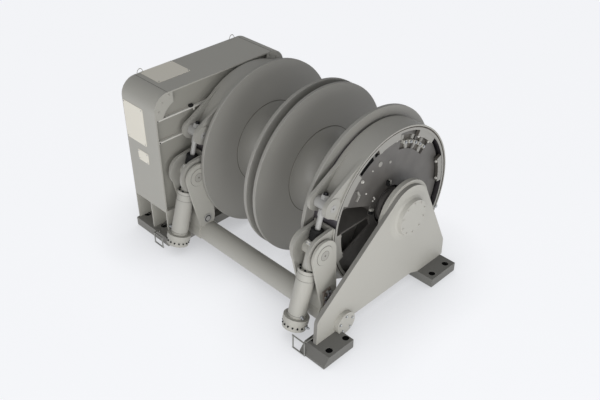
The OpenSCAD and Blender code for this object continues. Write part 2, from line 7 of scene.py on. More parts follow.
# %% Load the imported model
import bpy, math
from mathutils import Vector, Matrix


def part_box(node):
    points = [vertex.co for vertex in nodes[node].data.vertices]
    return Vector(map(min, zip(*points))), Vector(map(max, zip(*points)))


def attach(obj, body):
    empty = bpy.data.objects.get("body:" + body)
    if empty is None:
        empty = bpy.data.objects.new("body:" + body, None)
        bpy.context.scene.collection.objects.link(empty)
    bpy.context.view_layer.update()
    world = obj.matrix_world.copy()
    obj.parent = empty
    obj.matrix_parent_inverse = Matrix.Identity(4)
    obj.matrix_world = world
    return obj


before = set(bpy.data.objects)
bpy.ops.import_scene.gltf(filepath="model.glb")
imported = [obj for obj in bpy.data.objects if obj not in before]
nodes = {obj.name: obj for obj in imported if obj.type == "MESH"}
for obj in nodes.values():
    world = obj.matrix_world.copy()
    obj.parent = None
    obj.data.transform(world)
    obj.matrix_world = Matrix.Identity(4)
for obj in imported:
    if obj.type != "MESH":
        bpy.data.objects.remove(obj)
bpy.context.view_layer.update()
MM = 0.001
print("loaded", len(nodes), "parts")

# %% [markdown]
# ## Where the main axes lie
# The drum axis runs along X. Its place and the middle of the winch are read
# from the boxes of the flanges, and later the faces that carry small pieces
# are read in the same way. Typing them in would also work, but read values
# follow the model when it changes.

# %% Axes and planes of the winch
def low(node):
    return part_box(node)[0]

def high(node):
    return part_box(node)[1]

def middle(node):
    return (low(node) + high(node)) / 2

AXIS_Y = middle("flange_inner_right").y
AXIS_Z = middle("flange_inner_right").z
MIDDLE_X = (low("flange_inner_right").x + high("flange_inner_left").x) / 2
SIDES = {"right": 1, "left": -1}
print("drum axis at y", round(AXIS_Y, 3), "z", round(AXIS_Z, 3))

# %% [markdown]
# ## Colours and nodes
# Paint colours are noted as sRGB hex values, as a paint shop would give them.
# Blender works in linear light, so one function turns them. Nodes could each
# be made in three or four lines, but one small function that adds a node with
# its settings and links keeps a material short enough to read.

# %% Colour and node helpers
def srgb(text):
    def linear(c):
        return c / 12.92 if c <= 0.04045 else ((c + 0.055) / 1.055) ** 2.4
    parts = [int(text[i:i + 2], 16) / 255 for i in (1, 3, 5)]
    return tuple(linear(c) for c in parts) + (1.0,)

def toned(text, factor):
    return tuple(c * factor for c in srgb(text)[:3]) + (1.0,)

def add(tree, kind, settings=(), links=()):
    node = tree.nodes.new(kind)
    for name, value in dict(settings).items():
        if isinstance(name, int) or name in node.inputs:
            node.inputs[name].default_value = value
        else:
            setattr(node, name, value)
    for name, source in dict(links).items():
        tree.links.new(source, node.inputs[name])
    return node

COLOUR_A, COLOUR_B, MIXED = 6, 7, 2

def new_material(name, **settings):
    material = bpy.data.materials.new(name)
    material.use_nodes = True
    tree = material.node_tree
    shader = tree.nodes["Principled BSDF"]
    for key, value in settings.items():
        shader.inputs[key.replace("_", " ")].default_value = value
    return material, tree, shader

MID_GREY = "#808080"
print("mid grey", MID_GREY, "is", round(srgb(MID_GREY)[0], 3), "in linear light")

# %% [markdown]
# ## Paint
# The winch is sprayed with a satin warm grey two-part paint. Close up such a
# coat has a fine orange peel about a centimetre across and a slow drift in
# tone where the spray overlapped. Both are noises on Object coordinates, so
# they have a real size and stay put on the part. Parts that the photograph
# shows darker or lighter have a shade of their own. Some of these shades are
# painted light: the gear side wall and the clutch hub are darker as painted
# shade, and the wall ribs are lighter as a painted highlight.

# %% Sprayed paint
PEEL_MM, PEEL_DEPTH_MM, PEEL_STRENGTH = 12, 0.8, 0.12

def sprayed_paint(name, colour, shade=0.93, roughness=0.5, drift_mm=600):
    material, tree, shader = new_material(name, Roughness=roughness, IOR=1.5)
    where = add(tree, "ShaderNodeTexCoord").outputs["Object"]
    drift = add(tree, "ShaderNodeTexNoise", {"Scale": 1 / (drift_mm * MM), "Detail": 3.0}, {"Vector": where})
    tone = add(tree, "ShaderNodeMix",
               {"data_type": "RGBA", COLOUR_A: srgb(colour), COLOUR_B: toned(colour, shade)},
               {0: drift.outputs["Fac"]})
    tree.links.new(tone.outputs[MIXED], shader.inputs["Base Color"])
    peel = add(tree, "ShaderNodeTexNoise", {"Scale": 1 / (PEEL_MM * MM), "Detail": 2.0}, {"Vector": where})
    bump = add(tree, "ShaderNodeBump", {"Strength": PEEL_STRENGTH, "Distance": PEEL_DEPTH_MM * MM},
               {"Height": peel.outputs["Fac"]})
    tree.links.new(bump.outputs["Normal"], shader.inputs["Normal"])
    return material

warm_grey = sprayed_paint("sprayed_paint_warm_grey", "#B2B0A8")
band_grey = sprayed_paint("sprayed_paint_band_grey", "#A3A19A")
drum_grey = sprayed_paint("sprayed_paint_drum_grey", "#989690", roughness=0.46)
deck_grey = sprayed_paint("sprayed_primer_deck_grey", "#6F6E6A", roughness=0.6)
# The gear side wall gets a darker grey as painted shade, where the drums shade it.
side_wall_shade_grey = sprayed_paint("sprayed_paint_recess_grey", "#9A9890")
base_grey = sprayed_paint("sprayed_primer_base_grey", "#85837E", roughness=0.6)
# On the wall ribs this pale paint is a painted highlight on their lit top edges; on bolts, blocks and tabs
# it is their plain pale paint.
pale_paint_and_rib_highlight = sprayed_paint("sprayed_paint_rib_light", "#D2D0C9")
web_grey = sprayed_paint("sprayed_paint_rim_grey", "#6E6B67", shade=0.5, roughness=0.42, drift_mm=150)
lug_grey = sprayed_paint("sprayed_paint_lug_grey", "#5C5852")
# The clutch hub deep in the rim is darker as painted shade.
hub_shade_grey = sprayed_paint("sprayed_paint_hub_grey", "#5E5B58")
rod_grey = sprayed_paint("zinc_flake_coating", "#A6A5A2", roughness=0.38)
cream = sprayed_paint("enamel_cream_plate", "#ECE7D9", shade=0.97, roughness=0.35)
# Dark lines for grooves, disc steps and the bends of the roof are painted shade; the same grey gives the
# small centre marks.
shade_line_grey = sprayed_paint("weld_seam_grey", "#6E6C66", roughness=0.6)
keeper_brown = sprayed_paint("phosphated_keeper_plate", "#6B625A", roughness=0.45)
print("mixed the paints")

# %% [markdown]
# ## Turned steel
# Shafts, pins and screws are turned and left bare or zinc plated. The tool
# leaves fine rings that catch the light, drawn here as a fast wave with a
# little noise. Real rings are far finer; these are about 4 mm apart so that
# they show. A Wave texture repeats every tenth part of pi of its coordinate.

# %% Turned steel
RING_MM, RING_DEPTH_MM, RING_STRENGTH, RING_SHADE = 3.946, 0.3, 0.15, 0.86
WAVE_PERIOD = math.pi / 10

def turned_steel(name, colour, roughness=0.35, axis="X"):
    material, tree, shader = new_material(name, Metallic=1.0, Roughness=roughness)
    where = add(tree, "ShaderNodeTexCoord").outputs["Object"]
    rings = add(tree, "ShaderNodeTexWave",
                {"Scale": WAVE_PERIOD / (RING_MM * MM), "Distortion": 1.5, "Detail": 2.0,
                 "bands_direction": axis}, {"Vector": where})
    tone = add(tree, "ShaderNodeMix",
               {"data_type": "RGBA", COLOUR_A: srgb(colour), COLOUR_B: toned(colour, RING_SHADE)},
               {0: rings.outputs["Fac"]})
    tree.links.new(tone.outputs[MIXED], shader.inputs["Base Color"])
    bump = add(tree, "ShaderNodeBump", {"Strength": RING_STRENGTH, "Distance": RING_DEPTH_MM * MM},
               {"Height": rings.outputs["Fac"]})
    tree.links.new(bump.outputs["Normal"], shader.inputs["Normal"])
    return material

bright_steel = turned_steel("turned_steel_shaft", "#B9B7BC")
rim_steel = turned_steel("turned_steel_brake_rim", "#7E7A80", roughness=0.4)
gear_steel = turned_steel("hobbed_steel_gear", "#9A9B9F")
bronze = turned_steel("cast_bronze_bush", "#A98B5A")
zinc_steel = turned_steel("zinc_plated_bar", "#A9A9A4", roughness=0.45, axis="Z")
zinc_bolt = turned_steel("zinc_plated_bolt", "#C4C6C8", roughness=0.3)
black_bolt = turned_steel("black_oxide_screw", "#2A2A2C", roughness=0.4)
print("turned the steels")

# %% [markdown]
# ## Lining, rubber and painted shade
# The brake lining is a woven friction cloth in resin, nearly black and dull.
# The boot over the tie rod is moulded rubber. Holes that look black in the
# photograph get painted shade, a black that throws back almost no light. All
# three have a grain of small cells, from a Voronoi texture.

# %% Lining, rubber and painted shade
GRAIN_DEPTH_MM, GRAIN_STRENGTH, GRAIN_SHADE = 0.8, 0.3, 1.6

def dull_black(name, colour, grain_mm, roughness, specular=0.5):
    material, tree, shader = new_material(name, Roughness=roughness, IOR=1.52, Specular_IOR_Level=specular)
    where = add(tree, "ShaderNodeTexCoord").outputs["Object"]
    grain = add(tree, "ShaderNodeTexVoronoi", {"Scale": 1 / (grain_mm * MM)}, {"Vector": where})
    tone = add(tree, "ShaderNodeMix",
               {"data_type": "RGBA", COLOUR_A: srgb(colour), COLOUR_B: toned(colour, GRAIN_SHADE)},
               {0: grain.outputs["Distance"]})
    tree.links.new(tone.outputs[MIXED], shader.inputs["Base Color"])
    bump = add(tree, "ShaderNodeBump", {"Strength": GRAIN_STRENGTH, "Distance": GRAIN_DEPTH_MM * MM},
               {"Height": grain.outputs["Distance"]})
    tree.links.new(bump.outputs["Normal"], shader.inputs["Normal"])
    return material

lining_cloth = dull_black("woven_brake_lining", "#3A342E", 4, 0.85)
# This black is moulded rubber, and on the blocks by the hub stops it is painted shade.
rubber_and_shade_black = dull_black("moulded_rubber", "#0A0A0A", 2, 0.8)
# This black is painted shade, for deep holes and the dark gaps at the webs' edge.
shade_black = dull_black("bitumen_black_paint", "#050505", 3, 0.9, specular=0.1)
print("made the dull blacks")

# %% [markdown]
# ## Every part gets its finish
# A part's name says what it is, so its finish is looked up by the first
# letters of that name. Anything that isn't in the list is sprayed warm grey. A
# list is easier to read and to change than a chain of conditions.

# %% Give every part its finish
FINISHES = [
    (("barrel", "flares", "flange"), drum_grey),
    (("foot", "motor_flange"), deck_grey),
    (("gear_base",), base_grey),
    # The side wall's darker grey is painted shade.
    (("gear_side_wall",), side_wall_shade_grey),
    # The ribs' pale paint is a painted highlight on their lit top edges.
    (("wall_ribs",), pale_paint_and_rib_highlight),
    (("band",), band_grey),
    (("rim_lugs",), lug_grey),
    (("rim_web",), web_grey),
    (("brake_rim",), rim_steel),
    (("main_shaft",), bright_steel),
    # The clutch's dark grey is painted shade.
    (("clutch",), hub_shade_grey),
    (("tie_rod",), rod_grey),
    (("bull_gear", "idler_gears", "input_pinion"), gear_steel),
    (("hubs", "plate_bush", "wall_bush"), bronze),
    (("hoop",), zinc_steel),
    (("lining",), lining_cloth),
    (("boot",), rubber_and_shade_black),
]
for name, part in nodes.items():
    chosen = [finish for starts, finish in FINISHES if name.startswith(starts)]
    part.data.materials.clear()
    part.data.materials.append(chosen[0] if chosen else warm_grey)
print("painted", len(nodes), "parts")

# %% [markdown]
# ## Parts with two finishes
# The brake rim is ground bright where the lining runs, but its end faces and
# those of its dark lugs are painted. The bearing plate is flame cut, and its
# cut edges are darker than its faces. The parts themselves stay as they are,
# so each face gets its finish by how far its normal turns to the shaft.

# %% Paint the rim's end faces and the plate's edges
FACES_ALONG = 0.9

def paint_some(name, material, on_end):
    part = nodes[name]
    part.data.materials.append(material)
    for face in part.data.polygons:
        face.material_index = int((abs(face.normal.x) > FACES_ALONG) == on_end)

for side in SIDES:
    paint_some("brake_rim_" + side, drum_grey, True)
    paint_some("rim_lugs_" + side, drum_grey, True)
paint_some("bearing_plate", base_grey, False)
print("painted the end faces and the cut edges")

# %% [markdown]
# ## How the small pieces are made
# Each bolt, plate and fitting starts as a primitive at its place and is shaped
# by a bevel or in edit mode. Places are in millimetres, as a fitter measures
# them: along the shaft from the middle of the winch, to the rear of the drum
# axis, and up from the deck. At the end every piece has its place in its mesh
# and rides on the body that carries it.

# %% Places as a fitter measures them
def to_along(x):
    return (x - MIDDLE_X) / MM

def to_rear(y):
    return (y - AXIS_Y) / MM

def place(along, rear, up):
    return Vector((MIDDLE_X + along * MM, AXIS_Y + rear * MM, up * MM))

def round_axis(along, radius, angle, side=1):
    turn = math.radians(angle)
    return place(side * along, radius * math.cos(turn), AXIS_Z / MM + radius * math.sin(turn))

def leaning(angle):
    return (math.radians(angle), 0, 0)

def facing(axis):
    return Vector(axis).to_track_quat("Z", "Y").to_euler()

ALONG, UP = (1, 0, 0), (0, 0, 1)
print("middle of the winch at x", round(MIDDLE_X, 4))

# %% [markdown]
# ## Blocks, round bars and rings
# These three are the raw stock. A bar or block gets a small bevel at once,
# because a real edge is never quite sharp and the bevel catches the light. A
# ring is a torus, squashed along its axis where it is only a raised line.

# %% Blocks, round bars and rings
SMOOTH_UNDER = math.radians(35)

def none_selected():
    bpy.ops.object.select_all(action="DESELECT")

def only(*chosen):
    none_selected()
    for piece in chosen:
        piece.select_set(True)
    bpy.context.view_layer.objects.active = chosen[0]

def soften(piece, width_mm, segments=2):
    only(piece)
    edge = piece.modifiers.new("soft_edge", "BEVEL")
    edge.width = width_mm * MM
    edge.segments = segments
    edge.limit_method = "ANGLE"
    bpy.ops.object.modifier_apply(modifier=edge.name)
    return piece

def sharp_block(size_mm, at, turn=(0, 0, 0)):
    none_selected()
    bpy.ops.mesh.primitive_cube_add(size=1, location=at, rotation=turn)
    piece = bpy.context.object
    piece.scale = Vector(size_mm) * MM
    bpy.ops.object.transform_apply(location=False, rotation=False, scale=True)
    return piece

def block(size_mm, at, soft_mm=2, turn=(0, 0, 0)):
    return soften(sharp_block(size_mm, at, turn), soft_mm)

def round_bar(radius_mm, length_mm, at, axis=ALONG, sides=40, soft_mm=1.5):
    none_selected()
    bpy.ops.mesh.primitive_cylinder_add(vertices=sides, radius=radius_mm * MM, depth=length_mm * MM,
                                        location=at, rotation=facing(axis))
    piece = soften(bpy.context.object, soft_mm)
    bpy.ops.object.shade_smooth_by_angle(angle=SMOOTH_UNDER)
    return piece

def ring(radius_mm, bar_mm, at, turn, around=64, across=8):
    none_selected()
    bpy.ops.mesh.primitive_torus_add(major_radius=radius_mm * MM, minor_radius=bar_mm / 2 * MM,
                                     major_segments=around, minor_segments=across,
                                     location=at, rotation=turn)
    return bpy.context.object

def flat_ring(radius_mm, width_mm, proud_mm, at, axis=ALONG, around=64):
    piece = ring(radius_mm, width_mm, at, facing(axis), around)
    piece.scale = (1, 1, proud_mm * 2 / width_mm)
    return piece

# %% [markdown]
# ## Fitting a piece to its body
# A finished piece has its place in its mesh and its object at the origin, as
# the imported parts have. What belongs to one row of screws is joined into one
# piece, so that the list of pieces stays readable.

# %% Fit one piece, or several as one
def fit_on(piece, name, material, body):
    only(piece)
    bpy.ops.object.transform_apply(location=True, rotation=True, scale=True)
    piece.name = piece.data.name = name
    piece.data.materials.clear()
    piece.data.materials.append(material)
    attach(piece, body)
    return piece

def as_one(pieces, name, material, body):
    only(*pieces)
    if len(pieces) > 1:
        bpy.ops.object.join()
    return fit_on(bpy.context.object, name, material, body)

# %% [markdown]
# ## Bolts
# A hexagon bolt is one head on a washer; a socket screw is a round head with a
# sunk hole. Each is modelled once, one unit wide, by insets and an extrude of
# its top face, and copied in its real size to every place, as one joined piece
# per row or circle.

# %% One hexagon bolt and one socket screw
HEAD_R = 0.5
WASHER_R, WASHER_T, HEXAGON_T, CHAMFER_IN, CHAMFER_UP = 0.62, 0.1, 0.38, 0.07, 0.05
SOCKET_T, SOCKET_RIM, SOCKET_WALL, SOCKET_DEPTH = 0.5, 0.06, 0.14, 0.25

def cylinder_on_ground(sides, radius, height, ground=0.0):
    bpy.ops.mesh.primitive_cylinder_add(vertices=sides, radius=radius, depth=height,
                                        location=(0, 0, ground + height / 2))
    return bpy.context.object

def select_top(piece):
    bpy.ops.object.mode_set(mode="EDIT")
    bpy.ops.mesh.select_mode(type="FACE")
    bpy.ops.mesh.select_all(action="DESELECT")
    bpy.ops.object.mode_set(mode="OBJECT")
    highest = max(piece.data.polygons, key=lambda face: face.center.z)
    highest.select = True
    bpy.ops.object.mode_set(mode="EDIT")

def hexagon_bolt():
    none_selected()
    washer = cylinder_on_ground(24, WASHER_R, WASHER_T)
    head = cylinder_on_ground(6, HEAD_R, HEXAGON_T, ground=WASHER_T)
    select_top(head)
    bpy.ops.mesh.inset(thickness=CHAMFER_IN)
    bpy.ops.transform.translate(value=(0, 0, CHAMFER_UP))
    bpy.ops.object.mode_set(mode="OBJECT")
    only(head, washer)
    bpy.ops.object.join()
    bpy.ops.object.transform_apply(location=True, rotation=True, scale=True)
    return head

def socket_screw():
    none_selected()
    head = cylinder_on_ground(18, HEAD_R, SOCKET_T)
    select_top(head)
    bpy.ops.mesh.inset(thickness=SOCKET_RIM)
    bpy.ops.mesh.inset(thickness=SOCKET_WALL)
    bpy.ops.mesh.extrude_region_move(TRANSFORM_OT_translate={"value": (0, 0, -SOCKET_DEPTH)})
    bpy.ops.object.mode_set(mode="OBJECT")
    bpy.ops.object.transform_apply(location=True, rotation=True, scale=True)
    return head

hexagon = hexagon_bolt()
socket = socket_screw()

def bolts(master, name, spots, material, body):
    copies = []
    for at, axis, width_mm in spots:
        copy = bpy.data.objects.new(name, master.data.copy())
        bpy.context.scene.collection.objects.link(copy)
        copy.matrix_world = (Matrix.Translation(at) @ facing(axis).to_matrix().to_4x4()
                             @ Matrix.Scale(width_mm * MM, 4))
        copies.append(copy)
    return as_one(copies, name, material, body)

print("hexagon bolt has", len(hexagon.data.polygons), "faces, socket screw", len(socket.data.polygons))

# %% [markdown]
# ## Gear housing: label plates
# The housing carries three cream enamelled plates, left bare here. Each is a
# thin block with a rivet set in from each corner. Its four short edges are
# bevelled wide, which rounds the corners without drawing an outline by hand.

# %% Cream plates with rivets
HOUSING_FRONT = to_rear(low("gear_shell").y)
HOUSING_ROOF = high("gear_shell").z / MM
PLATE_T, PLATE_CORNER, PLATE_EDGE, PLATE_LIFT = 4, 14, 0.6, 1
RIVET_INSET, RIVET_WIDTH = 16, 11
LABEL_PLATES = [
    ("label_front_large", (325, PLATE_T, 417), (-1367.5, HOUSING_FRONT - PLATE_LIFT, 1323.5)),
    ("label_front_small", (173, PLATE_T, 123), (-1288.5, HOUSING_FRONT - PLATE_LIFT, 969.5)),
    ("label_roof", (322, 390, PLATE_T), (-1378, -746, HOUSING_ROOF + PLATE_LIFT)),
]

def label_plate(name, size_mm, at):
    piece = sharp_block(size_mm, at)
    bpy.ops.object.mode_set(mode="EDIT")
    bpy.ops.mesh.select_mode(type="EDGE")
    bpy.ops.mesh.select_all(action="DESELECT")
    bpy.ops.object.mode_set(mode="OBJECT")
    for edge in piece.data.edges:
        a, b = (piece.data.vertices[i].co for i in edge.vertices)
        edge.select = abs((a - b).length - PLATE_T * MM) < 1e-6
    bpy.ops.object.mode_set(mode="EDIT")
    bpy.ops.mesh.bevel(offset=PLATE_CORNER * MM, segments=5)
    bpy.ops.object.mode_set(mode="OBJECT")
    soften(piece, PLATE_EDGE, 1)
    fit_on(piece, name, cream, "frame")

rivets = []
for name, size, at in LABEL_PLATES:
    label_plate(name, size, place(*at))
    thin = size.index(PLATE_T)
    wide, tall = (i for i in range(3) if i != thin)
    outwards = (0, -1, 0) if thin == 1 else UP
    for a in (-1, 1):
        for b in (-1, 1):
            spot = list(at)
            spot[wide] += a * (size[wide] / 2 - RIVET_INSET)
            spot[tall] += b * (size[tall] / 2 - RIVET_INSET)
            spot[thin] += outwards[thin] * PLATE_T / 2
            rivets.append((place(*spot), outwards, RIVET_WIDTH))
bolts(socket, "label_rivets", rivets, zinc_bolt, "frame")
print("riveted", len(LABEL_PLATES), "bare plates")

# %% [markdown]
# ## Gear housing: roof
# Two thin dark strips cross the roof where its plate starts to bend; they are
# painted shade for the bends. At the far edge stand two loops of thin round bar
# for lifting the cover: rings, made taller than they are wide and half sunk in
# the roof.

# %% Roof shade strips and lifting loops
SHADE_STRIP_SIZE, SHADE_STRIP_SOFT, SHADE_STRIP_LIFT = (541, 5, 1.6), 0.4, 0.3
SHADE_STRIP_ALONG, SHADE_STRIP_REARS = -1269.5, (-998, 335)
# The roof strips are painted shade where the plate bends.
shade_strips = [block(SHADE_STRIP_SIZE, place(SHADE_STRIP_ALONG, rear, HOUSING_ROOF + SHADE_STRIP_LIFT), SHADE_STRIP_SOFT)
         for rear in SHADE_STRIP_REARS]
as_one(shade_strips, "roof_seams", shade_line_grey, "frame")

LOOP_ALONG, LOOP_REARS = -1520, {"front": -945, "rear": 245}
LOOP_WIDTH, LOOP_HEIGHT, LOOP_BAR = 70, 50, 6
across_roof = (math.radians(90), 0, math.radians(90))
for name, rear in LOOP_REARS.items():
    loop = ring(LOOP_WIDTH / 2, LOOP_BAR, place(LOOP_ALONG, rear, HOUSING_ROOF), across_roof, 40, 10)
    loop.scale = (1, LOOP_HEIGHT * 2 / LOOP_WIDTH, 1)
    fit_on(loop, "lifting_loop_" + name, warm_grey, "frame")
print("welded the roof seams and", len(LOOP_REARS), "loops")

# %% [markdown]
# ## Gear housing: side wall
# Three bolts hold each corner gusset. A cable clip sits on the upper rib with
# a light tab beside it, and both ribs end at the front in a small screwed
# block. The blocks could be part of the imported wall, but such small pieces are
# easier to place and to paint here.

# %% Gusset bolts, cable clip and rib ends
gusset_face = to_along(high("corner_plates").x)
GUSSET_BOLT = 18
GUSSET_BOLTS = ((-1120, 1560), (-1075, 1640), (-990, 1695), (457, 1560), (412, 1640), (327, 1695))
gusset_spots = [(place(gusset_face, rear, up), ALONG, GUSSET_BOLT) for rear, up in GUSSET_BOLTS]
bolts(hexagon, "gusset_bolts", gusset_spots, warm_grey, "frame")

CLIP_SIZE, CLIP_IN, CLIP_REAR, CLIP_UP = (34, 46, 26), 16, -730, 1486
TAB_SIZE, TAB_IN, TAB_REAR, TAB_UP = (10, 16, 62), 4, -708, 1462
clip = block(CLIP_SIZE, place(gusset_face - CLIP_IN, CLIP_REAR, CLIP_UP), 4)
fit_on(clip, "rib_clip", rubber_and_shade_black, "frame")
tab = block(TAB_SIZE, place(gusset_face - TAB_IN, TAB_REAR, TAB_UP), 2)
fit_on(tab, "rib_clip_tab", pale_paint_and_rib_highlight, "frame")

RIB_HALF, RIB_END, RIB_END_SIZE, RIB_END_IN, RIB_SCREW = 8, 16, (18, 30, 28), 10, 13
rib_face = to_along(high("wall_ribs").x)
rib_front = to_rear(low("wall_ribs").y)
rib_ups = (low("wall_ribs").z / MM + RIB_HALF, high("wall_ribs").z / MM - RIB_HALF)
ends = [block(RIB_END_SIZE, place(rib_face - RIB_END_IN, rib_front + RIB_END, up), 3) for up in rib_ups]
as_one(ends, "rib_end_blocks", pale_paint_and_rib_highlight, "frame")
rib_screws = [(place(rib_face - 1, rib_front + RIB_END, up), ALONG, RIB_SCREW) for up in rib_ups]
bolts(socket, "rib_end_screws", rib_screws, black_bolt, "frame")
print("dressed the side wall")

# %% [markdown]
# ## Feet
# The holes for the foundation bolts look black in the photograph. A flat dark
# disc would do from straight above, but a plug that nearly fills the hole looks
# right from any side. Two rubber washers lie round the front holes of the gear
# base.

# %% Plugs in the foot holes
FOOT_HOLES = ((1100, -1156.5), (1296, -1156.5), (1296, -940.5), (1100, 321.5), (1296, 321.5),
              (1100, 537.5), (1296, 537.5))
BASE_ALONGS, BASE_REARS = (-1208, -1507), (-1085, 480)
FOOT_PLUG_R, BASE_PLUG_R, PLUG_LENGTH, PLUG_UP, PLUG_SOFT = 32.5, 21, 86, 47, 0.5

def plug(radius, along, rear):
    return round_bar(radius, PLUG_LENGTH, place(along, rear, PLUG_UP), UP, soft_mm=PLUG_SOFT)

# The plugs are painted shade: a near-black fill for the shade deep in the holes.
plugs = [plug(FOOT_PLUG_R, along, rear) for along, rear in FOOT_HOLES]
plugs += [plug(BASE_PLUG_R, along, rear) for along in BASE_ALONGS for rear in BASE_REARS]
print("plugged", len(plugs), "holes")
as_one(plugs, "foot_hole_plugs", shade_black, "frame")

WASHER_RING_R, WASHER_RING_WIDTH, WASHER_RING_PROUD = 29, 12, 4
base_top = high("gear_base").z / MM
washers = [flat_ring(WASHER_RING_R, WASHER_RING_WIDTH, WASHER_RING_PROUD,
                     place(along, BASE_REARS[0], base_top), UP) for along in BASE_ALONGS]
as_one(washers, "base_hole_washers", rubber_and_shade_black, "frame")

# %% [markdown]
# ## Drums: planes and grooves
# The pieces of a drum are placed along the shaft by the faces of its flanges
# and of its brake rim. A dark groove runs round each flange where the flare
# ends. A thin squashed ring draws it, its darkness painted shade for the
# groove, because a cut so fine would cost many faces.

# %% Grooves at the foot of the flares
DRUM_IN = to_along(low("flange_inner_right").x)
DRUM_OUT = to_along(high("flange_outer_right").x)
FLANGE_T = (high("flange_inner_right").x - low("flange_inner_right").x) / MM
FLARE_R, GROOVE_WIDTH, GROOVE_PROUD, ROUND_STEPS = 459, 12, 1.2, 160
for name, side in SIDES.items():
    grooves = [flat_ring(FLARE_R, GROOVE_WIDTH, GROOVE_PROUD, place(side * along, 0, AXIS_Z / MM),
                         around=ROUND_STEPS) for along in (DRUM_IN + FLANGE_T, DRUM_OUT - FLANGE_T)]
    as_one(grooves, "flare_grooves_" + name, shade_line_grey, "drum_" + name)
print("drums run from", round(DRUM_IN), "to", round(DRUM_OUT), "mm")

# %% [markdown]
# ## Brake rims: lug bolts and hub stops
# Each of the eight lugs inside the rim's mouth is held by two bolts, whose
# heads point at the shaft. Near the hub stand five steel stops, each with a
# black block beside it, painted shade for a dark recess. A loop over the
# angles spaces them exactly.

# %% Lug bolts and hub stops
RIM_END = to_along(high("brake_rim_right").x)
WEB_FACE = to_along(high("rim_web_right").x)
LUGS, LUG_START, LUG_BOLT_OFFSETS = 8, 86, (3, 20)
LUG_BOLT, LUG_BOLT_R, LUG_BOLT_INSET = 24, 695, 20
STOPS, STOP_START, RECESS_SHADE_TURN = 5, 93, 6
STOP_SIZE, STOP_OUT, STOP_R = (26, 44, 22), 12, 262
RECESS_SHADE_SIZE, RECESS_SHADE_OUT, RECESS_SHADE_R = (30, 52, 26), 14, 264

def towards_shaft(angle):
    return tuple(round_axis(0, -1, angle) - round_axis(0, 0, 0))

for name, side in SIDES.items():
    heads = []
    for i in range(LUGS):
        for offset in LUG_BOLT_OFFSETS:
            angle = LUG_START + i * 360 / LUGS + offset
            heads.append((round_axis(RIM_END - LUG_BOLT_INSET, LUG_BOLT_R, angle, side),
                          towards_shaft(angle), LUG_BOLT))
    bolts(hexagon, "rim_lug_bolts_" + name, heads, pale_paint_and_rib_highlight, "drum_" + name)

    stops, recess_shades = [], []
    for i in range(STOPS):
        angle = STOP_START + i * 360 / STOPS
        stop_at = round_axis(WEB_FACE + STOP_OUT, STOP_R, angle, side)
        recess_shade_at = round_axis(WEB_FACE + RECESS_SHADE_OUT, RECESS_SHADE_R, angle + RECESS_SHADE_TURN, side)
        stops.append(block(STOP_SIZE, stop_at, 3, leaning(angle)))
        # Each black block is painted shade for a dark recess beside its stop.
        recess_shades.append(block(RECESS_SHADE_SIZE, recess_shade_at, 3, leaning(angle)))
    as_one(stops, "hub_stops_" + name, warm_grey, "drum_" + name)
    as_one(recess_shades, "hub_buffers_" + name, rubber_and_shade_black, "drum_" + name)
print("bolted", LUGS, "lugs in each rim")

# %% [markdown]
# ## Curved strips
# A strip that follows the rim is a rectangle spun round the drum axis. The
# plane's four corners are first laid on the strip's section, and spin then
# sweeps it. Its normals are made consistent afterwards, because a spin can
# leave a shape inside out.

# %% A rectangle spun round the drum axis
def spun_strip(alongs, radii, angles, side, steps=24):
    none_selected()
    bpy.ops.mesh.primitive_plane_add(size=1, location=(0, 0, 0))
    strip = bpy.context.object
    section = ((alongs[0], radii[0]), (alongs[1], radii[0]), (alongs[1], radii[1]), (alongs[0], radii[1]))
    in_order = sorted(strip.data.vertices, key=lambda vertex: math.atan2(vertex.co.y, vertex.co.x))
    for vertex, (along, radius) in zip(in_order, section):
        vertex.co = round_axis(along, radius, angles[0], side)
    bpy.ops.object.mode_set(mode="EDIT")
    bpy.ops.mesh.select_all(action="SELECT")
    bpy.ops.mesh.spin(steps=steps, angle=math.radians(angles[0] - angles[1]),
                      center=(0, AXIS_Y, AXIS_Z), axis=ALONG)
    bpy.ops.mesh.select_all(action="SELECT")
    bpy.ops.mesh.normals_make_consistent(inside=False)
    bpy.ops.object.mode_set(mode="OBJECT")
    bpy.ops.object.shade_smooth_by_angle(angle=SMOOTH_UNDER)
    return strip

# %% [markdown]
# ## Brake rims: slots, pads and small bolts
# Two of the gaps between the lugs show black slots at the web's edge, where
# shade falls in the gap between rim and web. A slot could be cut, but the
# imported web stays whole here, so a thin black strip of painted shade lies on
# it. The web also carries round cast pads, small bolts and bent brackets, and
# the slots, pads and brackets stand twice, half a turn apart.

# %% Slots, pads, bolts and brackets on the web
SLOT_GAPS, SLOT_OUTER_R, SLOT_BACK, SLOT_PROUD = (0, 4), 690, 1, 3
SLOTS = ((650, 104, 110.5), (641, 113, 129))
PAD_T, PAD_OUT = 6, 2
PADS = ((26, 532, 107), (15, 473, 92), (26, 532, 287), (15, 473, 272))
WEB_BOLTS = ((581, 132, 26), (262, 142, 16), (274, 147, 15), (284, 140, 15), (581, 312, 26),
             (545, 118, 12), (430, 140, 14))
BRACKET_OUT = 10
BRACKET_ARMS = (((22, 20, 70), 560, 143, 0.5), ((22, 70, 14), 535, 147, 0.9))

